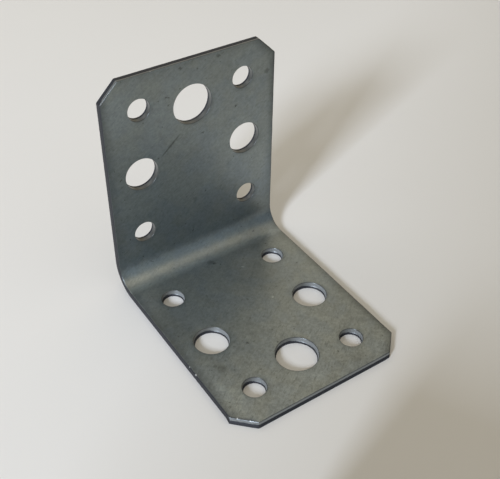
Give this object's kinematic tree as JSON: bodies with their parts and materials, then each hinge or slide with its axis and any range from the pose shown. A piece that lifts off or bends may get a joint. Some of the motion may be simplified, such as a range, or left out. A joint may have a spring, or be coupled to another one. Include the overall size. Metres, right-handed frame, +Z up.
{
  "type": "corner brace bracket",
  "caption": "Corner brace bracket folded square from one strip of galvanised sheet, with nail, screw and bolt holes in both legs, for joining timber at a right angle.",
  "frame": {"origin": "middle of the bounding box's underside, on the surface that the base leg lies on", "axes": "+X along the fold, +Z up along the upright leg, -Y towards the base leg's free end"},
  "size_m": [0.04, 0.05, 0.05],
  "materials": {
    "zinc": "satin"
  },
  "bodies": {
    "root": {"bracket": "zinc"}
  },
  "joints": []
}
